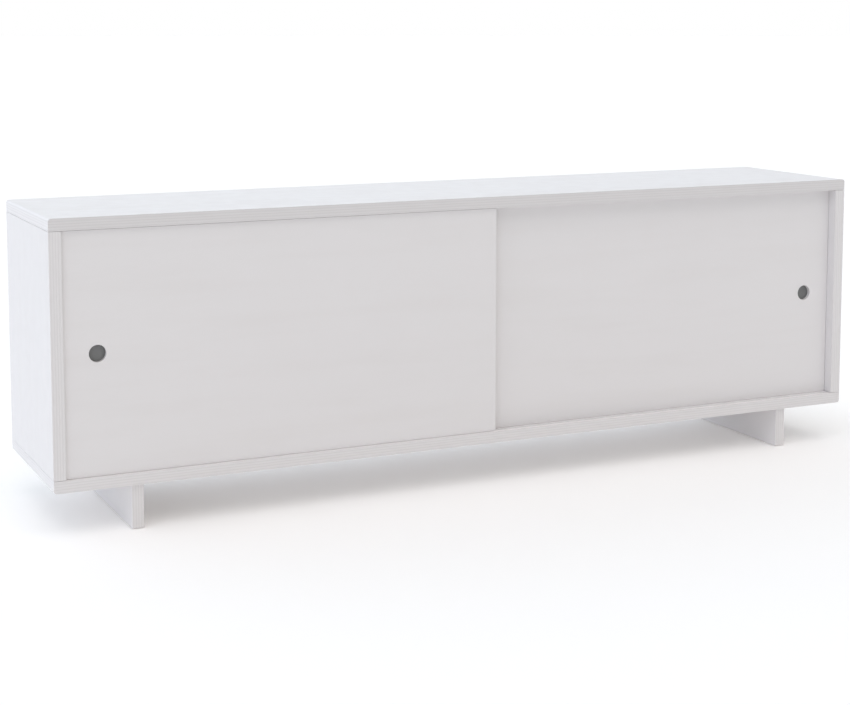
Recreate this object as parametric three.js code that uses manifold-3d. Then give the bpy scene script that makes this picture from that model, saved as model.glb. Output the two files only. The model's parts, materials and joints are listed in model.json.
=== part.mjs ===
// A long, low TV stand: a case of flat panels on two panel feet, closed by two sliding doors that
// pass each other. Millimetres, +Z up. The origin is on the floor under the middle of the case,
// +X runs along the case, and the doors face -Y.
import * as THREE from "three";
import { mergeVertices } from "three/addons/utils/BufferGeometryUtils.js";
import Module from "manifold-3d";

const wasm = await Module();
wasm.setup();

// ---------------------------------------------------------------- driving dimensions

const CASE_LENGTH = 1830;
const CASE_DEPTH = 372;
const CASE_HEIGHT = 520;
const PANEL = 24; // thickness of the case panels and the feet
const END_RADIUS = 6; // rounding of the case's long outer corners
const FIT_GAP = 0.3; // left round a piece that sits in a hole or a groove

const FOOT_HEIGHT = 88; // floor to the underside of the case
const FOOT_INSET = 150; // end of the case to the outer face of a foot
const FOOT_SETBACK = 6; // front and rear edge of a foot behind those of the case

const DOOR_THICKNESS = 15;
const DOOR_SETBACK = 6; // face of the front door behind the front of the case
const DOOR_SPACING = 3; // free space between the two doors
const DOOR_OVERLAP = 38;
const DOOR_END_GAP = 0.6;
const DOOR_BOTTOM_GAP = 0.4;
const DOOR_TOP_GAP = 1.2;

const BACK_THICKNESS = 6;
const BACK_RECESS = 2; // rear face of a back panel in front of the rear of the case
const BACK_LAP = 10; // how far a back panel reaches into the rebates round it
const DIVIDER_HOUSING = 6; // how deep the divider sits in the top and bottom panels

const SHELF_THICKNESS = 18;
const SHELF_SIDE_GAP = 1;
const INTERIOR_SETBACK = 44; // front of the divider behind the front of the case
const SHELF_SETBACK = 50;

// ---------------------------------------------------------------- planes of the case

const FRONT = -CASE_DEPTH / 2;
const BACK = CASE_DEPTH / 2;
const END = CASE_LENGTH / 2;
const INNER_END = END - PANEL;
const UNDERSIDE = FOOT_HEIGHT;
const TOP = UNDERSIDE + CASE_HEIGHT;
const BAY_FLOOR = UNDERSIDE + PANEL;
const BAY_CEILING = TOP - PANEL;
const BAY_MIDDLE = (BAY_FLOOR + BAY_CEILING) / 2;
const BACK_FACE = BACK - BACK_RECESS;
const BACK_FRONT = BACK_FACE - BACK_THICKNESS;
const SIDES = { left: -1, right: 1 };

// ---------------------------------------------------------------- materials

const whiteLacquer = new THREE.MeshStandardMaterial({ color: 0xdcdadb, roughness: 0.5 });
const boardWhite = new THREE.MeshStandardMaterial({ color: 0xe2e1df, roughness: 0.7 });
const cupGrey = new THREE.MeshStandardMaterial({ color: 0x6b6b6b, roughness: 0.45 });
const trackWhite = new THREE.MeshStandardMaterial({ color: 0xe8e8e6, roughness: 0.4 });
const nylon = new THREE.MeshStandardMaterial({ color: 0xd9d6cc, roughness: 0.5 });
const zincSteel = new THREE.MeshStandardMaterial({ color: 0xb4b8bc, roughness: 0.35, metalness: 1 });
const beech = new THREE.MeshStandardMaterial({ color: 0xcfa877, roughness: 0.8 });
const softRubber = new THREE.MeshStandardMaterial({ color: 0xcfd2d3, roughness: 0.7 });

// ---------------------------------------------------------------- shape helpers

// The closed solid of a geometry, for cutting.
function toSolid(geometry) {
  const bare = geometry.clone();
  bare.deleteAttribute("normal");
  bare.deleteAttribute("uv");
  const merged = mergeVertices(bare, 1e-4);
  const vertProperties = merged.getAttribute("position").array;
  const triVerts = new Uint32Array(merged.index.array);
  return new wasm.Manifold(new wasm.Mesh({ numProp: 3, vertProperties, triVerts }));
}

// The geometry of a cut solid.
function toGeometry(solid) {
  const mesh = solid.getMesh();
  const geometry = new THREE.BufferGeometry();
  geometry.setAttribute("position", new THREE.BufferAttribute(mesh.vertProperties, 3));
  geometry.setIndex(new THREE.BufferAttribute(mesh.triVerts, 1));
  return geometry;
}

function cut(geometry, cutters) {
  let solid = toSolid(geometry);
  for (const cutter of cutters) {
    solid = solid.subtract(toSolid(cutter));
  }
  return toGeometry(solid);
}

// A box from its lowest corner to its highest.
function block(low, high) {
  const size = high.map((value, i) => value - low[i]);
  const middle = high.map((value, i) => (value + low[i]) / 2);
  return new THREE.BoxGeometry(...size).translate(...middle);
}

// Turns a shape made round the Y axis so that its +Y points along the given direction.
function aim(geometry, direction) {
  const turn = new THREE.Quaternion();
  turn.setFromUnitVectors(new THREE.Vector3(0, 1, 0), new THREE.Vector3(...direction));
  return geometry.applyQuaternion(turn);
}

// A round rod that starts at a point and runs in a direction.
function rod(start, direction, radius, length, sides) {
  const cylinder = new THREE.CylinderGeometry(radius, radius, length, sides);
  cylinder.translate(0, length / 2, 0);
  return aim(cylinder, direction).translate(...start);
}

// A turned piece from [radius, distance] pairs along a direction.
function turned(profile, direction, sides) {
  const points = profile.map(([radius, distance]) => new THREE.Vector2(radius, distance));
  return aim(new THREE.LatheGeometry(points, sides), direction);
}

// An outline of [y, z] pairs extruded along X, centred on x = 0.
function extrudedAlongX(outline, length) {
  const shape = new THREE.Shape(outline.map(([y, z]) => new THREE.Vector2(y, z)));
  const geometry = new THREE.ExtrudeGeometry(shape, { depth: length, bevelEnabled: false });
  geometry.translate(0, 0, -length / 2);
  const basis = new THREE.Matrix4().makeBasis(
    new THREE.Vector3(0, 1, 0),
    new THREE.Vector3(0, 0, 1),
    new THREE.Vector3(1, 0, 0),
  );
  return geometry.applyMatrix4(basis);
}

// A named piece. Its geometry is given in the frame of the group that holds it, and is moved so
// that the mesh's own origin is the given point.
function piece(name, geometry, material, origin = [0, 0, 0]) {
  const local = geometry.clone().translate(...origin.map((value) => -value));
  local.computeVertexNormals();
  const mesh = new THREE.Mesh(local, material);
  mesh.name = name;
  mesh.position.set(...origin);
  return mesh;
}

// ---------------------------------------------------------------- door tracks

const TRACK_WIDTH = 7;
const TRACK_WALL = 1.5;
const LOWER_TRACK_HEIGHT = 8;
const UPPER_TRACK_HEIGHT = 10; // deeper, to leave room over the guides
const TRACK_PITCH = DOOR_THICKNESS + DOOR_SPACING;
const FRONT_TRACK_Y = FRONT + DOOR_SETBACK + DOOR_THICKNESS / 2;
const TRACK_ROWS = { front: FRONT_TRACK_Y, rear: FRONT_TRACK_Y + TRACK_PITCH };
const DOOR_ROWS = { left: "front", right: "rear" };

// A groove in the bottom panel (opening up) or the top panel (opening down) for one track strip.
function trackGroove(y, face, depth) {
  const half = TRACK_WIDTH / 2 + FIT_GAP;
  const reach = depth + Math.sign(depth) * FIT_GAP;
  const low = Math.min(face, face + reach);
  const high = Math.max(face, face + reach);
  return block([-INNER_END, y - half, low], [INNER_END, y + half, high]);
}

// A channel strip with its open side at z = 0, for the lower tracks. The closed side is below.
function trackStrip(height) {
  const half = TRACK_WIDTH / 2;
  const slot = half - TRACK_WALL;
  const outline = [
    [-half, 0],
    [-half, -height],
    [half, -height],
    [half, 0],
    [slot, 0],
    [slot, TRACK_WALL - height],
    [-slot, TRACK_WALL - height],
    [-slot, 0],
  ];
  return extrudedAlongX(outline, 2 * (INNER_END - FIT_GAP));
}

function tracks() {
  const group = new THREE.Group();
  for (const [row, y] of Object.entries(TRACK_ROWS)) {
    const lower = piece(`lower_${row}_track`, trackStrip(LOWER_TRACK_HEIGHT), trackWhite);
    lower.position.set(0, y, BAY_FLOOR);
    const upper = piece(`upper_${row}_track`, trackStrip(UPPER_TRACK_HEIGHT), trackWhite);
    upper.position.set(0, y, BAY_CEILING);
    upper.rotation.x = Math.PI;
    group.add(lower, upper);
  }
  return group;
}

// ---------------------------------------------------------------- dowels of the corner joints

const DOWEL_RADIUS = 4;
const DOWEL_LENGTH = 30;
const DOWEL_SIDES = 12;
const DOWEL_CHAMFER = 1;
const DOWEL_X = END - PANEL / 2;
const DOWEL_ROWS = { front: -110, rear: 120 };
const JOINTS = { lower: BAY_FLOOR, upper: BAY_CEILING };

// The name and the middle of each dowel.
function dowelPlaces() {
  const places = [];
  for (const [side, sign] of Object.entries(SIDES)) {
    for (const [joint, z] of Object.entries(JOINTS)) {
      for (const [row, y] of Object.entries(DOWEL_ROWS)) {
        const name = `case_dowel_${joint}_${side}_${row}`;
        places.push({ name, side, joint, middle: [sign * DOWEL_X, y, z] });
      }
    }
  }
  return places;
}

// The hole for a dowel, through the joint face and into both panels.
function dowelHole([x, y, z]) {
  const half = DOWEL_LENGTH / 2 + 1;
  return rod([x, y, z - half], [0, 0, 1], DOWEL_RADIUS + FIT_GAP, 2 * half, DOWEL_SIDES);
}

function dowels() {
  const group = new THREE.Group();
  const half = DOWEL_LENGTH / 2;
  const profile = [
    [0, -half],
    [DOWEL_RADIUS - DOWEL_CHAMFER, -half],
    [DOWEL_RADIUS, DOWEL_CHAMFER - half],
    [DOWEL_RADIUS, half - DOWEL_CHAMFER],
    [DOWEL_RADIUS - DOWEL_CHAMFER, half],
    [0, half],
  ];
  for (const { name, middle } of dowelPlaces()) {
    const dowel = piece(name, turned(profile, [0, 0, 1], DOWEL_SIDES), beech);
    dowel.position.set(...middle);
    group.add(dowel);
  }
  return group;
}

// The holes of one joint ("lower" or "upper") or of one side ("left" or "right").
function dowelHoles(where) {
  const places = dowelPlaces().filter(({ side, joint }) => side === where || joint === where);
  return places.map(({ middle }) => dowelHole(middle));
}

// ---------------------------------------------------------------- feet

const CLEAT_SIZE = 20;
const CLEAT_LENGTH = 200;
const CLEAT_MIDDLE_Y = 40;
const PAD_HEIGHT = 1.2;
const PAD_RADIUS = 11;
const PAD_SIDES = 24;
const PAD_ROWS = { front: -140, rear: 140 };
const SCREW_ROWS = { front: -30, rear: 110 };
const SCREW = { length: 38, shank: 2, head: 4, rim: 0.6, headDepth: 2.8, tip: 3, sides: 12 };
const FOOT_OUTER_X = END - FOOT_INSET;
const FOOT_INNER_X = FOOT_OUTER_X - PANEL;
const CLEAT_X = FOOT_INNER_X - CLEAT_SIZE / 2;
const CLEAT_BOTTOM = UNDERSIDE - CLEAT_SIZE;

// A countersunk screw from its head upwards. A grown one is the hole that it sits in.
function screwProfile(grow) {
  const shank = SCREW.shank + grow;
  const head = SCREW.head + grow;
  const top = SCREW.length + grow;
  return [
    [0, -grow],
    [head, -grow],
    [head, SCREW.rim],
    [shank, SCREW.headDepth],
    [shank, top - SCREW.tip],
    [0, top],
  ];
}

// The name and the lowest point of the head of each screw that holds a cleat on one side.
function screwPlaces(side) {
  return Object.entries(SCREW_ROWS).map(([row, y]) => {
    const place = [SIDES[side] * CLEAT_X, y, CLEAT_BOTTOM + FIT_GAP];
    return { name: `cleat_screw_${side}_${row}`, place };
  });
}

function screwHoles(side) {
  return screwPlaces(side).map(({ place }) =>
    turned(screwProfile(FIT_GAP), [0, 0, 1], SCREW.sides).translate(...place),
  );
}

function footPanel(side, sign) {
  const faces = [sign * FOOT_OUTER_X, sign * FOOT_INNER_X];
  const low = [Math.min(...faces), FRONT + FOOT_SETBACK, PAD_HEIGHT];
  const high = [Math.max(...faces), BACK - FOOT_SETBACK, UNDERSIDE];
  const middle = [(low[0] + high[0]) / 2, 0, UNDERSIDE];
  return piece(`${side}_foot`, block(low, high), whiteLacquer, middle);
}

function footCleat(side, sign) {
  const half = CLEAT_LENGTH / 2;
  const x = sign * CLEAT_X;
  const low = [x - CLEAT_SIZE / 2, CLEAT_MIDDLE_Y - half, CLEAT_BOTTOM];
  const high = [x + CLEAT_SIZE / 2, CLEAT_MIDDLE_Y + half, UNDERSIDE];
  const batten = cut(block(low, high), screwHoles(side));
  return piece(`${side}_foot_cleat`, batten, whiteLacquer, [x, CLEAT_MIDDLE_Y, UNDERSIDE]);
}

function floorPad(name, x, y) {
  const profile = [
    [0, 0],
    [PAD_RADIUS - 1, 0],
    [PAD_RADIUS, 1],
    [PAD_RADIUS, PAD_HEIGHT],
    [0, PAD_HEIGHT],
  ];
  const pad = piece(name, turned(profile, [0, 0, 1], PAD_SIDES), nylon);
  pad.position.set(x, y, 0);
  return pad;
}

function feet() {
  const group = new THREE.Group();
  for (const [side, sign] of Object.entries(SIDES)) {
    group.add(footPanel(side, sign), footCleat(side, sign));
    for (const [row, y] of Object.entries(PAD_ROWS)) {
      group.add(floorPad(`floor_pad_${side}_${row}`, sign * (FOOT_OUTER_X - PANEL / 2), y));
    }
    for (const { name, place } of screwPlaces(side)) {
      const screw = piece(name, turned(screwProfile(0), [0, 0, 1], SCREW.sides), zincSteel);
      screw.position.set(...place);
      group.add(screw);
    }
  }
  return group;
}

// ---------------------------------------------------------------- shelves and their pins

const PIN_RADIUS = 2.4;
const PIN_HEAD_RADIUS = 4;
const PIN_HEAD_LENGTH = 7;
const PIN_STEM = 8;
const PIN_SIDES = 12;
const PIN_ROWS = { front: -100, rear: 130 };
const PIN_PITCH = 32; // height between the holes of a row
const SHELF_PIN_Z = BAY_MIDDLE - SHELF_THICKNESS; // the height in use
const PIN_HEIGHTS = [-1, 0, 1].map((step) => SHELF_PIN_Z + step * PIN_PITCH);
const SHELF_LIFT = 0.1; // shelf above its pins
const SHELF_BOTTOM = SHELF_PIN_Z + PIN_HEAD_RADIUS + SHELF_LIFT;
const DIVIDER_X = PANEL / 2;

// The four faces that carry pins: the x of the face, and the way from the face into its bay.
const PIN_FACES = {
  left_outer: { x: -INNER_END, into: 1 },
  left_inner: { x: -DIVIDER_X, into: -1 },
  right_inner: { x: DIVIDER_X, into: 1 },
  right_outer: { x: INNER_END, into: -1 },
};

function pinHoles({ x, into }) {
  const depth = PIN_STEM + 1;
  const holes = [];
  for (const y of Object.values(PIN_ROWS)) {
    for (const z of PIN_HEIGHTS) {
      holes.push(rod([x - into * depth, y, z], [into, 0, 0], PIN_RADIUS + FIT_GAP, depth, PIN_SIDES));
    }
  }
  return holes;
}

function shelfPins() {
  const group = new THREE.Group();
  const profile = [
    [0, -PIN_STEM],
    [PIN_RADIUS, -PIN_STEM],
    [PIN_RADIUS, FIT_GAP],
    [PIN_HEAD_RADIUS, FIT_GAP],
    [PIN_HEAD_RADIUS, PIN_HEAD_LENGTH - 1],
    [PIN_HEAD_RADIUS - 1, PIN_HEAD_LENGTH],
    [0, PIN_HEAD_LENGTH],
  ];
  for (const [face, { x, into }] of Object.entries(PIN_FACES)) {
    for (const [row, y] of Object.entries(PIN_ROWS)) {
      const body = turned(profile, [into, 0, 0], PIN_SIDES);
      const pin = piece(`shelf_pin_${face}_${row}`, body, zincSteel);
      pin.position.set(x, y, SHELF_PIN_Z);
      group.add(pin);
    }
  }
  return group;
}

function shelf(side, sign) {
  const ends = [sign * (DIVIDER_X + SHELF_SIDE_GAP), sign * (INNER_END - SHELF_SIDE_GAP)];
  const low = [Math.min(...ends), FRONT + SHELF_SETBACK, SHELF_BOTTOM];
  const high = [Math.max(...ends), BACK_FRONT - SHELF_SIDE_GAP, SHELF_BOTTOM + SHELF_THICKNESS];
  const middle = [(low[0] + high[0]) / 2, (low[1] + high[1]) / 2, SHELF_BOTTOM];
  return piece(`${side}_shelf`, block(low, high), whiteLacquer, middle);
}

// ---------------------------------------------------------------- case panels

// The rebate along the rear inner edge of the top and bottom panels, stopped short of the ends.
function longRebate(face, depth) {
  const x = INNER_END + BACK_LAP;
  const low = Math.min(face, face + depth);
  const high = Math.max(face, face + depth);
  return block([-x, BACK_FRONT, low], [x, BACK + 1, high]);
}

// The housing that the end of the divider sits in.
function dividerHousing(face, depth) {
  const half = PANEL / 2 + FIT_GAP;
  const low = Math.min(face, face + depth);
  const high = Math.max(face, face + depth);
  return block([-half, FRONT + INTERIOR_SETBACK - FIT_GAP, low], [half, BACK_FRONT, high]);
}

// The top or bottom panel before it is grooved, with its two outer long corners rounded. The
// outline has its inner face at z = 0 and its outer face at z = PANEL.
function roundedBoard(innerFace, outward) {
  const inset = END - END_RADIUS;
  const height = PANEL - END_RADIUS;
  const outline = new THREE.Shape();
  outline.moveTo(-END, 0);
  outline.lineTo(END, 0);
  outline.lineTo(END, height);
  outline.absarc(inset, height, END_RADIUS, 0, Math.PI / 2);
  outline.lineTo(-inset, PANEL);
  outline.absarc(-inset, height, END_RADIUS, Math.PI / 2, Math.PI);
  const settings = { depth: CASE_DEPTH, bevelEnabled: false, curveSegments: 4 };
  const board = new THREE.ExtrudeGeometry(outline, settings);
  board.translate(0, 0, -CASE_DEPTH / 2);
  board.rotateX((outward * Math.PI) / 2);
  return board.translate(0, 0, innerFace);
}

function topPanel() {
  const cutters = [
    ...Object.values(TRACK_ROWS).map((y) => trackGroove(y, BAY_CEILING, UPPER_TRACK_HEIGHT)),
    longRebate(BAY_CEILING, BACK_LAP),
    dividerHousing(BAY_CEILING, DIVIDER_HOUSING),
    ...dowelHoles("upper"),
  ];
  const board = cut(roundedBoard(BAY_CEILING, 1), cutters);
  return piece("top_panel", board, whiteLacquer, [0, 0, BAY_CEILING]);
}

function bottomPanel() {
  const cutters = [
    ...Object.values(TRACK_ROWS).map((y) => trackGroove(y, BAY_FLOOR, -LOWER_TRACK_HEIGHT)),
    longRebate(BAY_FLOOR, -BACK_LAP),
    dividerHousing(BAY_FLOOR, -DIVIDER_HOUSING),
    ...dowelHoles("lower"),
    ...screwHoles("left"),
    ...screwHoles("right"),
  ];
  const board = cut(roundedBoard(BAY_FLOOR, -1), cutters);
  return piece("bottom_panel", board, whiteLacquer, [0, 0, BAY_FLOOR]);
}

function sidePanel(side, sign) {
  const faces = [sign * INNER_END, sign * END];
  const low = [Math.min(...faces), FRONT, BAY_FLOOR];
  const high = [Math.max(...faces), BACK, BAY_CEILING];
  const rebateEnds = [sign * (INNER_END - 1), sign * (INNER_END + BACK_LAP)];
  const cutters = [
    block([Math.min(...rebateEnds), BACK_FRONT, BAY_FLOOR - 1],
      [Math.max(...rebateEnds), BACK + 1, BAY_CEILING + 1]),
    ...dowelHoles(side),
    ...pinHoles(PIN_FACES[`${side}_outer`]),
    ...bumperPockets(side, sign),
  ];
  const board = cut(block(low, high), cutters);
  return piece(`${side}_side_panel`, board, whiteLacquer, [sign * END, 0, BAY_FLOOR]);
}

function centreDivider() {
  const reach = DIVIDER_HOUSING - FIT_GAP;
  const low = [-DIVIDER_X, FRONT + INTERIOR_SETBACK, BAY_FLOOR - reach];
  const high = [DIVIDER_X, BACK_FRONT - FIT_GAP, BAY_CEILING + reach];
  const cutters = [...pinHoles(PIN_FACES.left_inner), ...pinHoles(PIN_FACES.right_inner)];
  return piece("centre_divider", cut(block(low, high), cutters), whiteLacquer, [0, 0, BAY_FLOOR]);
}

// ---------------------------------------------------------------- back panels and cable holes

const CABLE_HOLE_RADIUS = 30;
const CABLE_HOLE_X = (INNER_END + DIVIDER_X) / 2;
const CABLE_HOLE_Z = BAY_FLOOR + 95;
const GROMMET_WALL = 1.7;
const GROMMET_FLANGE = { reach: 4, thickness: 1.5 };
const GROMMET_SIDES = 32;

function backPanel(side, sign) {
  const reach = BACK_LAP - 0.5;
  const ends = [sign * 0.5, sign * (INNER_END + reach)];
  const low = [Math.min(...ends), BACK_FRONT, BAY_FLOOR - reach];
  const high = [Math.max(...ends), BACK_FACE, BAY_CEILING + reach];
  const start = [sign * CABLE_HOLE_X, BACK_FRONT - 1, CABLE_HOLE_Z];
  const hole = rod(start, [0, 1, 0], CABLE_HOLE_RADIUS, BACK_THICKNESS + 2, GROMMET_SIDES);
  const middle = [(low[0] + high[0]) / 2, BACK_FACE, BAY_FLOOR];
  return piece(`${side}_back_panel`, cut(block(low, high), [hole]), boardWhite, middle);
}

// A ring that lines the cable hole, with its flange on the rear face of the back panel.
function cableGrommet(side, sign) {
  const outer = CABLE_HOLE_RADIUS - FIT_GAP;
  const inner = outer - GROMMET_WALL;
  const flange = CABLE_HOLE_RADIUS + GROMMET_FLANGE.reach;
  const chamfer = GROMMET_FLANGE.thickness / 2;
  const rear = BACK_THICKNESS + GROMMET_FLANGE.thickness;
  const profile = [
    [inner, -1],
    [outer, -1],
    [outer, BACK_THICKNESS],
    [flange, BACK_THICKNESS],
    [flange, rear - chamfer],
    [flange - chamfer, rear],
    [inner, rear],
    [inner, -1],
  ];
  const ring = piece(`${side}_cable_grommet`, turned(profile, [0, 1, 0], GROMMET_SIDES), nylon);
  ring.position.set(sign * CABLE_HOLE_X, BACK_FRONT, CABLE_HOLE_Z);
  return ring;
}

// ---------------------------------------------------------------- doors

const DOOR_WIDTH = INNER_END + DOOR_OVERLAP / 2 - DOOR_END_GAP;
const DOOR_HEIGHT = BAY_CEILING - BAY_FLOOR - DOOR_BOTTOM_GAP - DOOR_TOP_GAP;
const DOOR_MIDDLE_X = INNER_END - DOOR_END_GAP - DOOR_WIDTH / 2;
const FINGER_HOLE_RADIUS = 16.75;
const FINGER_HOLE_DEPTH = 11;
const CUP_RIM_DEPTH = 7.5; // rim of the cup behind the door's face
const CUP_DEPTH = 9.5; // floor of the cup's hollow behind the door's face
const CUP_WALL = 1.2;
const FINGER_HOLE_SIDES = 64;
const FINGER_HOLE_INSET = 65; // middle of the finger hole from the door's outer end
const FINGER_HOLE_HEIGHT = BAY_MIDDLE - BAY_FLOOR - DOOR_BOTTOM_GAP; // above the door's lower edge
const RUNNER_INSET = 90; // middle of a glide or a guide from an end of the door
const RUNNER_BODY = { width: 8, depth: 12 };
const RUNNER_FIN_WIDTH = 2.8;
const RUNNER_FIN_EASING = 0.6;
const GLIDE = {
  length: 60,
  fin: DOOR_BOTTOM_GAP + LOWER_TRACK_HEIGHT - TRACK_WALL - FIT_GAP,
};
const GUIDE_REACH = 6; // of a guide's fin into the upper track
const GUIDE_TRAVEL = GUIDE_REACH + 1; // how far a guide is pressed down to free its door
const GUIDE = { length: 40, fin: DOOR_TOP_GAP + GUIDE_REACH };
const RUNNERS = { 1: -1, 2: 1 }; // number of the glide or guide, and the end that it is near

// The blind hole in a door's face that the cup is pressed into, with the door's face at y = 0.
function fingerHole() {
  const profile = [
    [0, -1],
    [FINGER_HOLE_RADIUS, -1],
    [FINGER_HOLE_RADIUS, FINGER_HOLE_DEPTH],
    [0, FINGER_HOLE_DEPTH],
  ];
  return turned(profile, [0, 1, 0], FINGER_HOLE_SIDES);
}

// The shallow cup at the bottom of that hole, with the door's face at y = 0.
function fingerCup(side) {
  const outer = FINGER_HOLE_RADIUS - FIT_GAP;
  const inner = outer - CUP_WALL;
  const back = FINGER_HOLE_DEPTH - FIT_GAP;
  const easing = 0.3;
  const cove = 1.2; // between the wall and the floor of the hollow
  const profile = [
    [0, CUP_DEPTH],
    [inner - cove, CUP_DEPTH],
    [inner, CUP_DEPTH - cove],
    [inner, CUP_RIM_DEPTH + easing],
    [inner + easing, CUP_RIM_DEPTH],
    [outer - easing, CUP_RIM_DEPTH],
    [outer, CUP_RIM_DEPTH + easing],
    [outer, back],
    [0, back],
  ];
  return piece(`${side}_finger_cup`, turned(profile, [0, 1, 0], FINGER_HOLE_SIDES), cupGrey);
}

// The mortise in a door's lower or upper edge for the body of a glide or guide, with room below
// the body for its travel.
function runnerMortise(x, edge, inward, length, travel) {
  const half = RUNNER_BODY.width / 2 + FIT_GAP;
  const reach = length / 2 + FIT_GAP;
  const ends = [edge - inward, edge + inward * (RUNNER_BODY.depth + FIT_GAP + travel)];
  return block([x - reach, -half, Math.min(...ends)], [x + reach, half, Math.max(...ends)]);
}

// A glide or guide with its body above z = 0 and its thinner fin below.
function runner({ length, fin }) {
  const half = RUNNER_BODY.width / 2;
  const thin = RUNNER_FIN_WIDTH / 2;
  const easing = RUNNER_FIN_EASING;
  const outline = [
    [-half, 0],
    [-thin, 0],
    [-thin, easing - fin],
    [easing - thin, -fin],
    [thin - easing, -fin],
    [thin, easing - fin],
    [thin, 0],
    [half, 0],
    [half, RUNNER_BODY.depth],
    [-half, RUNNER_BODY.depth],
  ];
  return extrudedAlongX(outline, length);
}

// One door with its cup, glides and guides, in a group at the middle of the door's lower edge.
function door(side, sign) {
  const group = new THREE.Group();
  const row = TRACK_ROWS[DOOR_ROWS[side]];
  group.position.set(sign * DOOR_MIDDLE_X, row, BAY_FLOOR + DOOR_BOTTOM_GAP);
  const half = [DOOR_WIDTH / 2, DOOR_THICKNESS / 2];
  const holePlace = [sign * (half[0] - FINGER_HOLE_INSET), -half[1], FINGER_HOLE_HEIGHT];
  const cutters = [fingerHole().translate(...holePlace)];
  for (const [number, end] of Object.entries(RUNNERS)) {
    const x = end * (half[0] - RUNNER_INSET);
    cutters.push(runnerMortise(x, 0, 1, GLIDE.length, 0));
    cutters.push(runnerMortise(x, DOOR_HEIGHT, -1, GUIDE.length, GUIDE_TRAVEL));
    const glide = piece(`${side}_door_glide_${number}`, runner(GLIDE), nylon);
    glide.position.set(x, 0, 0);
    const guide = piece(`${side}_door_guide_${number}`, runner(GUIDE), nylon);
    guide.position.set(x, 0, DOOR_HEIGHT);
    guide.rotation.x = Math.PI;
    group.add(glide, guide);
  }
  const leaf = block([-half[0], -half[1], 0], [half[0], half[1], DOOR_HEIGHT]);
  const cup = fingerCup(side);
  cup.position.set(...holePlace);
  group.add(piece(`${side}_door`, cut(leaf, cutters), whiteLacquer), cup);
  return group;
}

// ---------------------------------------------------------------- bumpers that the doors close on

const BUMPER_RADIUS = 4;
const BUMPER_SIDES = 16;
const BUMPER_POCKET = 1.5; // depth of the pocket in the side panel that a bumper sits in
const BUMPER_INSET = 60; // from the bay's floor and ceiling
const BUMPER_ROWS = { lower: BAY_FLOOR + BUMPER_INSET, upper: BAY_CEILING - BUMPER_INSET };

function bumperPockets(side, sign) {
  const y = TRACK_ROWS[DOOR_ROWS[side]];
  const floor = sign * (INNER_END + BUMPER_POCKET);
  return Object.values(BUMPER_ROWS).map((z) =>
    rod([floor, y, z], [-sign, 0, 0], BUMPER_RADIUS + FIT_GAP, BUMPER_POCKET + 1, BUMPER_SIDES),
  );
}

function bumpers() {
  const group = new THREE.Group();
  const height = BUMPER_POCKET + DOOR_END_GAP - FIT_GAP;
  const profile = [
    [0, 0],
    [BUMPER_RADIUS, 0],
    [BUMPER_RADIUS, height / 2],
    [BUMPER_RADIUS - 1, height],
    [0, height],
  ];
  for (const [side, sign] of Object.entries(SIDES)) {
    for (const [row, z] of Object.entries(BUMPER_ROWS)) {
      const disc = turned(profile, [-sign, 0, 0], BUMPER_SIDES);
      const dot = piece(`${side}_door_bumper_${row}`, disc, softRubber);
      dot.position.set(sign * (INNER_END + BUMPER_POCKET), TRACK_ROWS[DOOR_ROWS[side]], z);
      group.add(dot);
    }
  }
  return group;
}

// ---------------------------------------------------------------- the whole stand

const stand = new THREE.Group();
stand.add(topPanel(), bottomPanel(), centreDivider());
for (const [side, sign] of Object.entries(SIDES)) {
  stand.add(sidePanel(side, sign), backPanel(side, sign), cableGrommet(side, sign));
  stand.add(shelf(side, sign), door(side, sign));
}
stand.add(tracks(), shelfPins(), dowels(), feet(), bumpers());

export default stand;
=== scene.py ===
import json
import math

import bmesh
import bpy
from mathutils import Matrix, Vector

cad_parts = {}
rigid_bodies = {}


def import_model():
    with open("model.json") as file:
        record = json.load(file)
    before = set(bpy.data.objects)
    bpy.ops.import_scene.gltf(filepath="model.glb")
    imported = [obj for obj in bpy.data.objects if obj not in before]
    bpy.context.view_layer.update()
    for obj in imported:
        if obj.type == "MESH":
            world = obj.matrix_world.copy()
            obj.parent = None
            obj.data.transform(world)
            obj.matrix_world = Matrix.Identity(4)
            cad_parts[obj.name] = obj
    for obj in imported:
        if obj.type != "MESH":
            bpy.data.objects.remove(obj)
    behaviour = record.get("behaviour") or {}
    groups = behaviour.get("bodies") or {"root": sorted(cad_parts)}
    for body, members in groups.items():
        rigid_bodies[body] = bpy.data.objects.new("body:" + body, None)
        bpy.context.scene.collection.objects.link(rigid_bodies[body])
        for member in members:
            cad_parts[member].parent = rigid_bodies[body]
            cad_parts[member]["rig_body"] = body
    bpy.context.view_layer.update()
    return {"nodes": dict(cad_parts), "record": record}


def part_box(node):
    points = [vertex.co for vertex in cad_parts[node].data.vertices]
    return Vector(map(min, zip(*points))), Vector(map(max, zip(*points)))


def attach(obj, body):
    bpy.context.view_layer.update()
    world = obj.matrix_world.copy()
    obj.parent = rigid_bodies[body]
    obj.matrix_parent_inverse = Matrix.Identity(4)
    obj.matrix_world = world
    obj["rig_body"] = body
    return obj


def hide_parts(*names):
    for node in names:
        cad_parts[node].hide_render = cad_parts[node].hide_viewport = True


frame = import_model()
NODES = frame["nodes"]
SLOTS = {part["node"]: part["material_slot"] for part in frame["record"]["subparts"]}

# A low white television stand: a lacquered plywood case on two panel feet, closed by two doors
# that slide past each other. Lengths are in metres, and MM is one millimetre. Every piece is made
# from a CAD node's mesh or box, so it sits where the CAD model puts it.

MM = 0.001
AXES = "xyz"
SIDES = ("left", "right")

# ---------------------------------------------------------------- shader nodes


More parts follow.
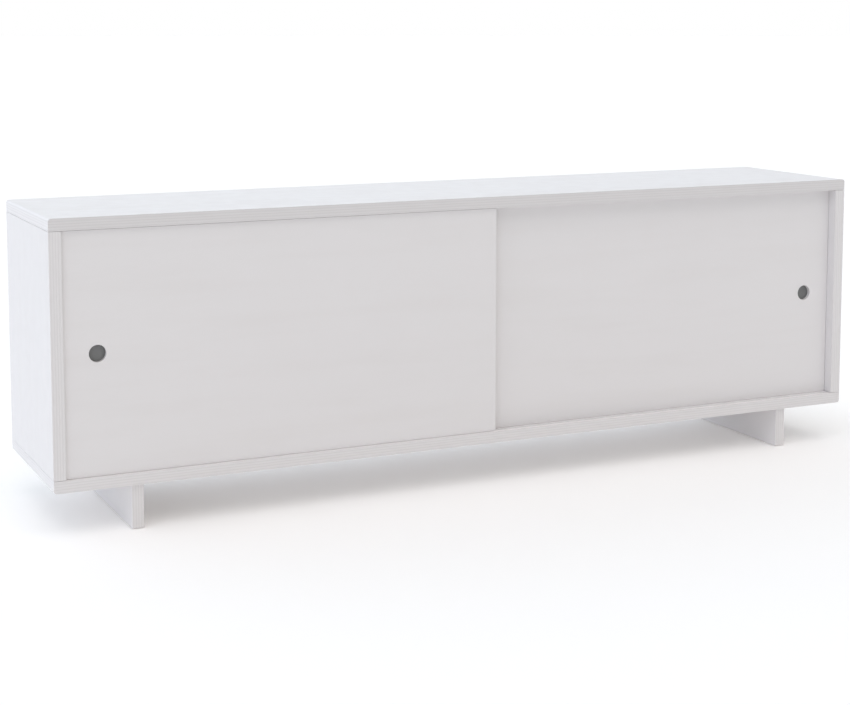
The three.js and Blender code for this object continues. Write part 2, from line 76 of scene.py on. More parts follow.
class Graph:
    """Short calls for the nodes of one shader."""

    def __init__(self, tree):
        self.tree = tree

    def node(self, kind, **settings):
        made = self.tree.nodes.new(kind)
        for key, value in settings.items():
            setattr(made, key, value)
        return made

    def put(self, socket, value):
        """Feeds a socket from another node, or sets it to a constant."""
        if isinstance(value, bpy.types.NodeSocket):
            self.tree.links.new(value, socket)
        else:
            socket.default_value = value

    def math(self, operation, *values):
        made = self.node("ShaderNodeMath", operation=operation)
        for socket, value in zip(made.inputs, values):
            self.put(socket, value)
        return made.outputs[0]

    def place(self, stretch=(1, 1, 1), kind="Object"):
        """Where a point is on the piece, with each axis scaled."""
        source = self.node("ShaderNodeTexCoord").outputs[kind]
        scaled = self.node("ShaderNodeVectorMath", operation="MULTIPLY")
        self.put(scaled.inputs[0], source)
        self.put(scaled.inputs[1], Vector(stretch))
        return scaled.outputs[0]

    def noise(self, place, scale, detail=2.0, roughness=0.5):
        made = self.node("ShaderNodeTexNoise")
        self.put(made.inputs["Vector"], place)
        self.put(made.inputs["Scale"], scale)
        self.put(made.inputs["Detail"], detail)
        self.put(made.inputs["Roughness"], roughness)
        return made.outputs[0]

    def spread(self, value, low, high, new_low=0.0, new_high=1.0):
        """A value from low to high, smoothly spread over a new range and held there."""
        made = self.node("ShaderNodeMapRange", interpolation_type="SMOOTHSTEP")
        for socket, number in zip(made.inputs, (value, low, high, new_low, new_high)):
            self.put(socket, number)
        return made.outputs[0]

    def blend(self, factor, first, second):
        """A mix of two colours."""
        made = self.node("ShaderNodeMix", data_type="RGBA")
        self.put(made.inputs[0], factor)
        self.put(made.inputs[6], first)
        self.put(made.inputs[7], second)
        return made.outputs[2]

    def bump(self, height, depth, beneath=None):
        """A relief of that depth in metres, on top of another one."""
        made = self.node("ShaderNodeBump")
        self.put(made.inputs["Strength"], 1.0)
        self.put(made.inputs["Distance"], depth)
        self.put(made.inputs["Height"], height)
        if beneath is not None:
            self.put(made.inputs["Normal"], beneath)
        return made.outputs[0]


class Shader(Graph):
    """One material, with a Principled surface."""

    def __init__(self, name):
        self.material = bpy.data.materials.new(name)
        self.material.use_nodes = True
        super().__init__(self.material.node_tree)
        self.surface = self.tree.nodes["Principled BSDF"]

    def set(self, **inputs):
        """Sets inputs of the surface; an underscore in a name stands for a space."""
        for name, value in inputs.items():
            self.put(self.surface.inputs[name.replace("_", " ")], value)


def grey(level, warmth=0.0):
    """A nearly neutral colour: warmth above 0 leans to yellow, below 0 to blue."""
    return (level * (1 + warmth), level, level * (1 - warmth), 1.0)


def made_once(recipe):
    """A material recipe that gives the same material each time it is asked for."""
    kept = {}

    def ask(*key):
        if key not in kept:
            kept[key] = recipe(*key)
        return kept[key]

    return ask


# ---------------------------------------------------------------- materials of the boards
#
# A noise's scale is the number of its features in a metre, and a bump's depth is in metres.

LACQUER = 0.756  # how much light the white lacquer sends back
PLY = 2.67 * MM  # thickness of one ply


def white(share, warmth=0.0):
    """A share of the lacquer's own white, which leans a little to rose."""
    red, green, blue, alpha = grey(LACQUER * share, warmth)
    return (red * 1.025, green * 0.993, blue, alpha)


def along(axis, stretch):
    """Scales for a texture that is drawn out along one axis."""
    return tuple(1 / stretch if number == axis else 1 for number in range(3))


@made_once
def lacquer_face(grain, share):
    """Satin white lacquer on a board's face, with the veneer's grain faintly telegraphed."""
    s = Shader(f"lacquer_face_grain_{AXES[grain]}_{round(100 * share)}")
    place = s.place()
    fibres = s.noise(s.place(along(grain, 28)), 640, 3, 0.6)
    cathedral = s.noise(s.place(along(grain, 9)), 22, 3, 0.55)
    clouds = s.noise(place, 2.6, 2)
    peel = s.noise(place, 720, 1)
    tone = s.blend(clouds, white(0.992 * share), white(1.008 * share))
    tone = s.blend(s.spread(cathedral, 0.42, 0.75), tone, white(0.982 * share, 0.003))
    tone = s.blend(s.spread(fibres, 0.55, 0.85, 0, 0.4), tone, white(0.965 * share, 0.004))
    s.set(Base_Color=tone, IOR=1.48)
    s.set(Roughness=s.spread(s.noise(place, 34, 3), 0.3, 0.7, 0.36, 0.46))
    relief = s.bump(cathedral, 0.10 * MM)
    relief = s.bump(fibres, 0.035 * MM, relief)
    s.set(Normal=s.bump(peel, 0.02 * MM, relief))
    return s.material


@made_once
def ply_edge(thin, plies, share):
    """The same lacquer on a board's edge, where the plies show as faint lines: their end grain
    and long grain take turns, each ply has a shade of its own, and a glue line parts them."""
    s = Shader(f"ply_edge_{AXES[thin]}_{plies}_{round(100 * share)}")
    across = s.node("ShaderNodeSeparateXYZ")
    s.put(across.inputs[0], s.place(kind="Generated"))
    wander = s.noise(s.place(), 9, 2)
    height = s.math("MULTIPLY_ADD", across.outputs[thin], plies, s.spread(wander, 0.3, 0.7, -0.1, 0.1))
    turn = s.math("PINGPONG", height, 1.0)
    end_grain = s.spread(turn, 0.36, 0.64)
    ply_number = s.math("FLOOR", height)
    own_shade = s.node("ShaderNodeTexWhiteNoise", noise_dimensions="1D")
    s.put(own_shade.inputs["W"], s.math("ADD", ply_number, 7.0))
    glue = s.math("PINGPONG", s.math("ADD", height, 0.5), 0.5)
    glue_line = s.spread(glue, 0.40, 0.5)
    fibres = s.noise(s.place(along(thin, 0.35)), 300, 3, 0.6)
    tone = s.blend(end_grain, white(1.02 * share), white(0.945 * share, 0.003))
    tone = s.blend(s.math("MULTIPLY", own_shade.outputs[0], 0.5), tone, white(0.93 * share, 0.002))
    tone = s.blend(s.math("MULTIPLY", glue_line, 0.35), tone, white(0.80 * share, 0.006))
    tone = s.blend(s.spread(fibres, 0.5, 0.8, 0, 0.3), tone, white(0.90 * share, 0.004))
    s.set(Base_Color=tone, IOR=1.48)
    s.set(Roughness=s.spread(fibres, 0.3, 0.7, 0.42, 0.54))
    relief = s.bump(end_grain, 0.05 * MM)
    relief = s.bump(glue_line, -0.04 * MM, relief)
    s.set(Normal=s.bump(fibres, 0.05 * MM, relief))
    return s.material


@made_once
def lacquer_corner():
    """Lacquer on the eased corners, rubbed a little thin in places."""
    s = Shader("lacquer_corner")
    place = s.place()
    rub = s.noise(place, 14, 4, 0.65)
    nick = s.noise(place, 260, 2, 0.6)
    thin = s.math("MULTIPLY", s.spread(rub, 0.52, 0.68), s.spread(nick, 0.45, 0.7))
    tone = s.blend(s.noise(place, 40), white(0.985), white(1.01))
    s.set(Base_Color=s.blend(s.math("MULTIPLY", thin, 0.3), tone, white(0.76, 0.04)))
    s.set(Roughness=s.spread(rub, 0.3, 0.7, 0.34, 0.5), IOR=1.48)
    s.set(Normal=s.bump(nick, 0.02 * MM))
    return s.material


@made_once
def painted_board():
    """Matt white paint on thin board, with the stipple of a roller."""
    s = Shader("painted_board")
    place = s.place()
    stipple = s.noise(place, 900, 3, 0.6)
    patches = s.noise(place, 3.2, 3)
    lap = s.noise(s.place(along(2, 7)), 12, 2)
    tone = s.blend(patches, white(0.965, 0.004), white(1.0, 0.002))
    tone = s.blend(s.spread(lap, 0.45, 0.8, 0, 0.5), tone, white(0.945, 0.006))
    s.set(Base_Color=tone, Roughness=s.spread(stipple, 0.3, 0.7, 0.58, 0.72), IOR=1.46)
    relief = s.bump(lap, 0.06 * MM)
    s.set(Normal=s.bump(stipple, 0.06 * MM, relief))
    return s.material


# ---------------------------------------------------------------- materials of the fittings


@made_once
def cup_grey():
    """Satin grey moulding with a fine spark-eroded texture."""
    s = Shader("cup_grey")
    place = s.place()
    texture = s.noise(place, 2600, 2, 0.6)
    haze = s.noise(place, 120, 3)
    s.set(Base_Color=s.blend(haze, grey(0.165), grey(0.205)))
    s.set(Roughness=s.spread(haze, 0.3, 0.7, 0.40, 0.55), IOR=1.5)
    s.set(Normal=s.bump(texture, 0.03 * MM))
    return s.material


@made_once
def track_plastic():
    """White extruded plastic, drawn out in fine lines and scuffed where the doors run."""
    s = Shader("track_plastic")
    lines = s.noise(s.place(along(0, 400)), 3000, 2)
    scuffs = s.noise(s.place(along(0, 25)), 180, 3, 0.65)
    tone = s.blend(lines, grey(0.83, 0.004), grey(0.87, 0.004))
    s.set(Base_Color=s.blend(s.spread(scuffs, 0.55, 0.8, 0, 0.5), tone, grey(0.66, 0.01)))
    s.set(Roughness=s.spread(scuffs, 0.35, 0.75, 0.30, 0.5), IOR=1.46)
    s.set(Normal=s.bump(lines, 0.02 * MM))
    return s.material


@made_once
def white_nylon():
    """Natural nylon, slightly milky."""
    s = Shader("white_nylon")
    place = s.place()
    flow = s.noise(place, 160, 3, 0.6)
    grain = s.noise(place, 2400, 2)
    s.set(Base_Color=s.blend(flow, grey(0.66, 0.025), grey(0.73, 0.02)))
    s.set(Roughness=s.spread(flow, 0.3, 0.7, 0.38, 0.5), IOR=1.53)
    s.set(Subsurface_Weight=0.08, Subsurface_Scale=2 * MM)
    s.set(Normal=s.bump(grain, 0.02 * MM))
    return s.material


@made_once
def zinc_steel():
    """Bright zinc plating with a trace of blue and yellow, and fine scratches."""
    s = Shader("zinc_steel")
    place = s.place()
    bloom = s.noise(place, 420, 3, 0.6)
    scratches = s.noise(s.place(along(2, 12)), 3200, 3, 0.7)
    tone = s.blend(bloom, (0.60, 0.62, 0.65, 1), (0.66, 0.64, 0.58, 1))
    s.set(Base_Color=tone, Metallic=1.0)
    s.set(Roughness=s.spread(bloom, 0.3, 0.7, 0.24, 0.4))
    s.set(Normal=s.bump(scratches, 0.01 * MM))
    return s.material


@made_once
def beech():
    """Bare beech with short dark flecks along the grain."""
    s = Shader("beech")
    bands = s.noise(s.place(along(2, 10)), 420, 3, 0.6)
    flecks = s.noise(s.place(along(2, 5)), 1500, 2)
    tone = s.blend(bands, (0.56, 0.37, 0.20, 1), (0.70, 0.51, 0.31, 1))
    s.set(Base_Color=s.blend(s.spread(flecks, 0.58, 0.72, 0, 0.6), tone, (0.36, 0.21, 0.10, 1)))
    s.set(Roughness=0.62)
    s.set(Normal=s.bump(bands, 0.05 * MM))
    return s.material


@made_once
def soft_rubber():
    """Clear soft rubber, a little cloudy and dusty."""
    s = Shader("soft_rubber")
    dust = s.noise(s.place(), 900, 3, 0.6)
    s.set(Base_Color=s.blend(dust, grey(0.74, -0.01), grey(0.84, -0.01)))
    s.set(Transmission_Weight=0.5, IOR=1.49)
    s.set(Roughness=s.spread(dust, 0.35, 0.75, 0.22, 0.5))
    s.set(Normal=s.bump(dust, 0.02 * MM))
    return s.material


FITTING_MATERIALS = {
    "cup_grey": cup_grey,
    "track_plastic": track_plastic,
    "white_nylon": white_nylon,
    "zinc_steel": zinc_steel,
    "beech": beech,
    "soft_rubber": soft_rubber,
}

# ---------------------------------------------------------------- making a piece

FLAT = math.radians(0.5)  # faces that turn less than this are one face
CREASE = math.radians(36)  # shading breaks where faces turn more than this
SHARP = math.radians(40)  # an edge that turns more than this is eased
WELD = 0.01 * MM  # points nearer than this are one point
FLUSH = 0.02 * MM  # and heights nearer than this are one height


def body_of(node):
    return NODES[node]["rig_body"]


def piece(name, mesh, materials, body, nodes=()):
    """Turns a bmesh into a shown object that rides on a body and stands for CAD nodes."""
    bmesh.ops.recalc_face_normals(mesh, faces=mesh.faces)
    data = bpy.data.meshes.new(name)
    for face in mesh.faces:
        face.smooth = True
    mesh.to_mesh(data)
    mesh.free()
    for material in materials:
        data.materials.append(material)
    data.set_sharp_from_angle(angle=CREASE)
    made = bpy.data.objects.new(name, data)
    bpy.context.scene.collection.objects.link(made)
    weighted = made.modifiers.new("weighted_normals", "WEIGHTED_NORMAL")
    weighted.keep_sharp = True
    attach(made, body)
    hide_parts(*nodes)
    return made


def finished(node, mesh, materials):
    """A piece that takes the place of one CAD node."""
    return piece(f"{node}_finished", mesh, materials, body_of(node), [node])


def whole_faces(node):
    """A copy of a CAD node's mesh, with its split corners joined and its flat faces whole."""
    mesh = bmesh.new()
    mesh.from_mesh(NODES[node].data)
    bmesh.ops.remove_doubles(mesh, verts=mesh.verts, dist=WELD)
    bmesh.ops.dissolve_limit(mesh, angle_limit=FLAT, verts=mesh.verts, edges=mesh.edges)
    return mesh


def sharp_edges(mesh):
    """The edges that stand out at a sharp angle."""
    return [
        edge
        for edge in mesh.edges
        if len(edge.link_faces) == 2 and edge.is_convex and edge.calc_face_angle() > SHARP
    ]


def ease(mesh, edges, width, material=-1, steps=3):
    """Rounds edges over. A very short edge beside them narrows the whole rounding, so that it
    doesn't overlap itself: of BOARD_EASING, the case's four outer panels keep almost nothing."""
    bmesh.ops.bevel(
        mesh,
        geom=edges,
        offset=width,
        offset_type="OFFSET",
        segments=steps,
        profile=0.5,
        affect="EDGES",
        clamp_overlap=True,
        material=material,
    )


# ---------------------------------------------------------------- boards

FACE, UPPER, EDGE, END, CORNER = range(5)  # a board's material slots
SQUARE = 0.9  # a face looks along an axis when this much of its normal does
LEANING = 0.3  # a facet of a rounded end looks at least this much towards the end

BOARD_EASING = 1.3 * MM
BACK_EASING = 0.6 * MM
DOOR_EASING = 0.3 * MM
HOLE_EASING = 0.4 * MM
JOINT_EASING = 0.4 * MM
JOINT_GAP = 0.6 * MM
JOINT_HEIGHTS = [corner.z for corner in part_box("left_side_panel")]
OUTSIDE_REACH = 4.5 * MM  # how near the sides of its box a board's outer corners lie
SHORTEST_STRAIGHT = 6.5 * MM  # shorter edges are facets of a round hole

# Shares of the lacquer's white, which paint light and shade into parts of the boards.
# painted highlight: the bottom panel's upward faces are lighter, so the ledge in front of the doors
# looks lit from above
UPPER_PAINTED_HIGHLIGHT_SHARES = {"bottom_panel": 1.14}
# painted shade: the top panel's edges, its front edge among them, are darker, for the shade along the
# top of the front
EDGE_PAINTED_SHADE_SHARES = {"top_panel": 0.92}
# painted highlight: the ends of every board are lighter than their edges, to lift the shade that falls
# on the ends near the floor
END_PAINTED_HIGHLIGHT_SHARE = 1.04


def is_outside(edge, low, high):
    """Whether an edge runs along one of the outer corners of a box."""
    middle = (edge.verts[0].co + edge.verts[1].co) / 2
    gaps = [min(middle[n] - low[n], high[n] - middle[n]) for n in range(3)]
    return sum(gap < OUTSIDE_REACH for gap in gaps) >= 2


def at_joint(edge):
    """Whether an edge runs from front to back where a side panel meets the top or the bottom."""
    first, second = (vert.co for vert in edge.verts)
    if abs(first.x - second.x) > FLUSH:
        return False
    return any(max(abs(first.z - z), abs(second.z - z)) < FLUSH for z in JOINT_HEIGHTS)


def ease_board(mesh, low, high, easing):
    """Rounds a board's outer corners, and the rims of the round holes in it."""
    rims = [
        edge
        for edge in sharp_edges(mesh)
        if edge.calc_length() < SHORTEST_STRAIGHT and not is_outside(edge, low, high)
    ]
    ease(mesh, rims, min(easing, HOLE_EASING), EDGE, 2)
    corners = [edge for edge in sharp_edges(mesh) if is_outside(edge, low, high)]
    ease(mesh, [edge for edge in corners if at_joint(edge)], JOINT_EASING, CORNER)
    corners = [edge for edge in sharp_edges(mesh) if is_outside(edge, low, high)]
    ease(mesh, corners, easing, CORNER)


def surface_kind(face, thin, low, high):
    """Whether a face is one of a board's large faces, an end across its length, or a long edge."""
    if abs(face.normal[thin]) > SQUARE:
        return UPPER if face.normal.z > SQUARE else FACE
    middle = face.calc_center_median().x
    at_end = min(middle - low.x, high.x - middle) < OUTSIDE_REACH
    return END if at_end and abs(face.normal.x) > LEANING else EDGE


def open_joints(mesh):
    """Shortens a side panel a little at both ends, so that its joints show as fine lines."""
    bottom, top = JOINT_HEIGHTS
    for vert in mesh.verts:
        if vert.co.z < bottom + JOINT_EASING + FLUSH:
            vert.co.z += JOINT_GAP
        if vert.co.z > top - JOINT_EASING - FLUSH:
            vert.co.z -= JOINT_GAP


def board(node):
    """A lacquered plywood board: its two large faces, its edges and ends, and its eased corners."""
    low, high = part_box(node)
    size = high - low
    thin = min(range(3), key=lambda n: size[n])
    grain = max(range(3), key=lambda n: size[n])
    plies = 1 + 2 * round((size[thin] / PLY - 1) / 2)
    mesh = whole_faces(node)
    for face in mesh.faces:
        face.material_index = surface_kind(face, thin, low, high)
    ease_board(mesh, low, high, DOOR_EASING if node.endswith("_door") else BOARD_EASING)
    if node.endswith("_side_panel"):
        open_joints(mesh)
    materials = [
        lacquer_face(grain, 1.0),
        # painted highlight on the bottom panel's upward faces
        lacquer_face(grain, UPPER_PAINTED_HIGHLIGHT_SHARES.get(node, 1.0)),
        # painted shade on the top panel's edges
        ply_edge(thin, plies, EDGE_PAINTED_SHADE_SHARES.get(node, 1.0)),
        # painted highlight on every board's ends
        ply_edge(thin, plies, END_PAINTED_HIGHLIGHT_SHARE),
        lacquer_corner(),
    ]
    return finished(node, mesh, materials)


def back_board(node):
    """A thin painted back panel."""
    low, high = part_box(node)
    mesh = whole_faces(node)
    ease(mesh, [edge for edge in sharp_edges(mesh) if is_outside(edge, low, high)], BACK_EASING)
    return finished(node, mesh, [painted_board()])


# ---------------------------------------------------------------- mouldings and strips

MOULDING_EASING = 0.35 * MM


def moulding(node):
    """A plastic strip or block with its corners eased."""
    mesh = whole_faces(node)
    ease(mesh, sharp_edges(mesh), MOULDING_EASING, steps=2)
    return finished(node, mesh, [FITTING_MATERIALS[SLOTS[node]]()])


# ---------------------------------------------------------------- turned pieces

TURNING_SIDES = 96
ROUNDING_STEPS = 4
ROOM = 2.1  # each edge of an outline is at least this many times as long as the rounding at its end
ON_AXIS = 0.0001 * MM  # a smaller radius is a point on the axis


def softened(outline, radius):
    """An outline with its inner corners rounded by short curves."""
    points = [Vector(point) for point in outline]
    path = [points[0]]
    for before, corner, after in zip(points, points[1:], points[2:]):
        back, ahead = before - corner, after - corner
        start = corner + back.normalized() * min(radius, back.length / ROOM)
        end = corner + ahead.normalized() * min(radius, ahead.length / ROOM)
        for step in range(ROUNDING_STEPS + 1):
            t = step / ROUNDING_STEPS
            path.append(start * (1 - t) ** 2 + corner * 2 * t * (1 - t) + end * t * t)
    path.append(points[-1])
    return path


def turned(mesh, outline, middle, axis, sides, swell=None):
    """Adds a solid turned about an axis. The outline's points are (radius, distance along the
    axis); swell adds to the radius at an angle and distance, for a thread or a flute."""
    axis = Vector(axis).normalized()
    first = axis.orthogonal().normalized()
    second = axis.cross(first)
    rings = []
    for radius, distance in outline:
        centre = Vector(middle) + axis * distance
        if radius < ON_AXIS:
            rings.append([mesh.verts.new(centre)] * sides)
            continue
        ring = []
        for number in range(sides):
            angle = 2 * math.pi * number / sides
            reach = radius + (swell(angle, distance) if swell else 0)
            arm = first * math.cos(angle) + second * math.sin(angle)
            ring.append(mesh.verts.new(centre + arm * reach))
        rings.append(ring)
    for low, high in zip(rings, rings[1:]):
        for n in range(sides):
            m = (n + 1) % sides
            corners = dict.fromkeys((low[n], low[m], high[m], high[n]))
            mesh.faces.new(list(corners))


def turned_piece(node, outline, middle, axis, sides=TURNING_SIDES, swell=None):
    """A turned fitting; the weld closes an outline that comes back to its first point."""
    mesh = bmesh.new()
    turned(mesh, outline, middle, axis, sides, swell)
    bmesh.ops.remove_doubles(mesh, verts=mesh.verts, dist=WELD / 10)
    return finished(node, mesh, [FITTING_MATERIALS[SLOTS[node]]()])


def finger_cup(side):
    """The grey cup at the bottom of a door's finger hole: a thin rim round a shallow dish."""
    node = f"{side}_finger_cup"
    low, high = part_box(node)
    middle = ((low.x + high.x) / 2, low.y, (low.z + high.z) / 2)
    radius = (high.x - low.x) / 2
    wall, dish, crown, cove = 1.2 * MM, 2.0 * MM, 0.25 * MM, 1.1 * MM
    inside = radius - wall
    outline = [
        (0, dish - crown),
        (inside * 0.6, dish - crown / 2),
        (inside - cove, dish),
        (inside - cove * 0.3, dish - cove * 0.3),
        (inside, dish - cove),
        (inside, 0.0),
        (radius, 0.0),
        (radius, high.y - low.y),
        (0, high.y - low.y),
    ]
    return turned_piece(node, softened(outline, 0.35 * MM), middle, (0, 1, 0))


def cable_grommet(side):
    """The lined cable hole in a back panel, with a flange outside."""
    node = f"{side}_cable_grommet"
    low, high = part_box(node)
    middle = ((low.x + high.x) / 2, low.y, (low.z + high.z) / 2)
    flange, reach, wall, lip = (high.x - low.x) / 2, 4.3 * MM, 1.7 * MM, 1.5 * MM
    outer = flange - reach
    inner = outer - wall
    length = high.y - low.y
    outline = [
        (inner, length / 2),
        (inner, 0),
        (outer - 0.4 * MM, 0),
        (outer, 1.2 * MM),
        (outer, length - lip),
        (flange, length - lip),
        (flange - 0.4 * MM, length - 0.4 * MM),
        (flange - 1.6 * MM, length),
        (inner + 0.8 * MM, length),
        (inner, length - 0.8 * MM),
        (inner, length / 2),
    ]
    return turned_piece(node, softened(outline, 0.4 * MM), middle, (0, 1, 0))


def shelf_pin(node):
    """A steel shelf pin: a grooved stem in the board and a domed head under the shelf."""
    low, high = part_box(node)
    face, stem_is_low = pin_face(node)
    into = 1 if stem_is_low else -1
    middle = (face, (low.y + high.y) / 2, (low.z + high.z) / 2)
    head = (high.z - low.z) / 2
    stem, gap, length, depth = 2.4 * MM, 0.3 * MM, 7 * MM, 8 * MM
    groove, half_groove = -3.5 * MM, 0.5 * MM
    outline = [
        (0, -depth),
        (stem - 0.5 * MM, -depth),
        (stem, 1 * MM - depth),
        (stem, groove - half_groove),
        (stem - 0.3 * MM, groove),
        (stem, groove + half_groove),
        (stem, gap),
        (head, gap),
        (head, length - 2 * MM),
        (head - 1.2 * MM, length - 0.3 * MM),
        (0, length),
    ]
    return turned_piece(node, softened(outline, 0.4 * MM), middle, (into, 0, 0), sides=48)


def pin_face(node):
    """The x of the board face that a shelf pin stands on, and whether its stem points to -x."""
    board_name = "centre_divider" if "_inner_" in node else f"{node.split('_')[2]}_side_panel"
    low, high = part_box(board_name)
    on_left = "_left_" in node
    stem_is_low = on_left == (board_name != "centre_divider")
    return (high.x if stem_is_low else low.x), stem_is_low


def floor_pad(node):
    """A nylon pad nailed under a foot."""
    low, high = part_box(node)
    middle = ((low.x + high.x) / 2, (low.y + high.y) / 2, low.z)
    radius, height = (high.x - low.x) / 2, high.z - low.z
    outline = [(0, 0), (radius - 0.9 * MM, 0), (radius, 0.9 * MM), (radius, height), (0, height)]
    return turned_piece(node, softened(outline, 0.5 * MM), middle, (0, 0, 1), sides=64)


def bumper(node):
    """A clear domed dot that a door closes on."""
    low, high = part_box(node)
    on_left = "left" in node
    middle = (low.x if on_left else high.x, (low.y + high.y) / 2, (low.z + high.z) / 2)
    radius, height = (high.z - low.z) / 2, high.x - low.x
    outline = [
        (0, 0),
        (radius, 0),
        (radius, height * 0.3),
        (radius * 0.8, height * 0.85),
        (radius * 0.4, height),
        (0, height),
    ]
    axis = (1 if on_left else -1, 0, 0)
    return turned_piece(node, softened(outline, 0.5 * MM), middle, axis, sides=48)


def dowel(node):
    """A fluted beech dowel with chamfered ends."""
    low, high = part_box(node)
    middle = ((low.x + high.x) / 2, (low.y + high.y) / 2, low.z)
    radius, length, chamfer, flutes = (high.x - low.x) / 2, high.z - low.z, 1 * MM, 16

    def groove(angle, distance):
        """Flutes, between the chamfers."""
        whole = chamfer < distance < length - chamfer
        return -0.25 * MM * max(0.0, math.cos(flutes * angle)) if whole else 0.0

    rim = radius - chamfer
    outline = [(0, 0), (rim, 0), (radius, chamfer), (radius, 1.2 * chamfer)]
    outline += [(radius, length - 1.2 * chamfer), (radius, length - chamfer), (rim, length)]
    outline.append((0, length))
    return turned_piece(node, outline, middle, (0, 0, 1), sides=6 * flutes, swell=groove)


# ---------------------------------------------------------------- screws

CROSS_LONG = 0.62  # the recess's arms, as shares of the head's radius
CROSS_WIDE = 0.17
CROSS_TAPER = 0.45  # the recess's bottom, as a share of its top
THREAD_SIDES = 24
RINGS_IN_A_TURN = 10
RINGS_IN_THE_TIP = 12


def cross_recess(mesh, middle, axis, radius, depth):
    """Adds a tapered cross, to be cut out of a screw's head. It starts just outside the head."""
    axis = Vector(axis).normalized()
    first = axis.orthogonal().normalized()
    second = axis.cross(first)
    long, wide = radius * CROSS_LONG, radius * CROSS_WIDE
    arm = [(long, -wide), (long, wide), (wide, wide)]
    plan = []
    for quarter in range(4):
        turn = Matrix.Rotation(quarter * math.pi / 2, 2)
        plan += [turn @ Vector(corner) for corner in arm]
    levels = []
    for distance, scale in ((-radius, 1.0), (0.0, 1.0), (depth, CROSS_TAPER)):
        centre = Vector(middle) + axis * distance
        levels.append([mesh.verts.new(centre + (first * u + second * v) * scale) for u, v in plan])
    for low, high in zip(levels, levels[1:]):
        for n in range(len(plan)):
            m = (n + 1) % len(plan)
            mesh.faces.new((low[n], low[m], high[m], high[n]))
    mesh.faces.new(levels[0])
    mesh.faces.new(levels[-1])


def cut_from(mesh, cutter):
    """Subtracts one bmesh from another, and gives the result as a new bmesh."""
    objects = []
    for part in (mesh, cutter):
        bmesh.ops.recalc_face_normals(part, faces=part.faces)
        data = bpy.data.meshes.new("cutting")
        part.to_mesh(data)
        part.free()
        made = bpy.data.objects.new("cutting", data)
        bpy.context.scene.collection.objects.link(made)
        objects.append(made)
    boolean = objects[0].modifiers.new("cut", "BOOLEAN")
    boolean.operation = "DIFFERENCE"
    boolean.solver = "EXACT"
    boolean.object = objects[1]
    shown = objects[0].evaluated_get(bpy.context.evaluated_depsgraph_get())
    result = bmesh.new()
    result.from_mesh(shown.to_mesh())
    shown.to_mesh_clear()
    for made in objects:
        bpy.data.objects.remove(made)
    return result


def cleat_screw(node):
    """A countersunk screw, head down in a cleat, with its thread up in the bottom panel."""
    low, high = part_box(node)
    middle = ((low.x + high.x) / 2, (low.y + high.y) / 2, low.z)
    head, core, length = (high.x - low.x) / 2, 1.45 * MM, high.z - low.z
    thread, pitch, tip, plain = 0.5 * MM, 1.8 * MM, 5 * MM, 8 * MM

    def ridge(angle, distance):
        """The thread, which winds up the shank and fades out at both ends."""
        if distance < plain:
            return 0.0
        turn = (distance / pitch - angle / (2 * math.pi)) % 1
        fade = min(1.0, (distance - plain) / pitch, max(0.0, (length - distance) / tip))
        return thread * fade * max(0.0, 1 - 3 * abs(turn - 0.5))

    threaded = length - tip - plain
    steps = int(threaded / (pitch / RINGS_IN_A_TURN))
    shares = [n / RINGS_IN_THE_TIP for n in range(1, RINGS_IN_THE_TIP)]
    outline = [(0, 0), (head - 0.3 * MM, 0), (head, 0.5 * MM), (core + 0.3 * MM, 2.8 * MM)]
    outline += [(core, plain + threaded * n / steps) for n in range(steps + 1)]
    outline += [(core * (1 - share), length - tip + tip * share) for share in shares]
    outline.append((0, length))
    mesh, cross = bmesh.new(), bmesh.new()
    turned(mesh, outline, middle, (0, 0, 1), THREAD_SIDES, ridge)
    cross_recess(cross, middle, (0, 0, 1), head, 2.0 * MM)
    return finished(node, cut_from(mesh, cross), [zinc_steel()])


BACK_SCREW_SPACING = 150 * MM
BACK_SCREW_INSET = 5 * MM
BACK_SCREW = {"head": 3.3 * MM, "height": 1.5 * MM, "shank": 1.4 * MM, "length": 5 * MM}


def evenly(start, end, spacing):
    """Places from start to end, both included, no further apart than the spacing."""
    count = math.ceil((end - start) / spacing)
    return [start + (end - start) * n / count for n in range(count + 1)]


def back_screw_places(low, high):
    """The middles of the screws round a back panel's border."""
    xs = evenly(low.x + BACK_SCREW_INSET, high.x - BACK_SCREW_INSET, BACK_SCREW_SPACING)
    zs = evenly(low.z + BACK_SCREW_INSET, high.z - BACK_SCREW_INSET, BACK_SCREW_SPACING)
    rows = [(x, z) for x in xs for z in (zs[0], zs[-1])]
    return rows + [(x, z) for z in zs[1:-1] for x in (xs[0], xs[-1])]


def back_screws(side):
    """The pan-head screws that hold a back panel."""
    low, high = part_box(f"{side}_back_panel")
    head, height = BACK_SCREW["head"], BACK_SCREW["height"]
    shank, length = BACK_SCREW["shank"], BACK_SCREW["length"]
    outline = softened([(0, 0), (head * 0.75, 0.1 * MM), (head, height), (shank, height)], 0.8 * MM)
    outline += [Vector((shank, length)), Vector((0, length + shank))]
    heads, crosses = bmesh.new(), bmesh.new()
    for x, z in back_screw_places(low, high):
        middle = (x, high.y + height, z)
        turned(heads, outline, middle, (0, -1, 0), sides=32)
        cross_recess(crosses, middle, (0, -1, 0), head, 1.2 * MM)
    mesh = cut_from(heads, crosses)
    return piece(f"{side}_back_screws", mesh, [zinc_steel()], "case")


# ---------------------------------------------------------------- the stand

BOARDS = ["top_panel", "bottom_panel", "centre_divider"]
for side in SIDES:
    BOARDS += [f"{side}_{name}" for name in ("side_panel", "shelf", "door", "foot", "foot_cleat")]

TURNINGS = {
    "shelf_pin": shelf_pin,
    "floor_pad": floor_pad,
    "case_dowel": dowel,
    "cleat_screw": cleat_screw,
}


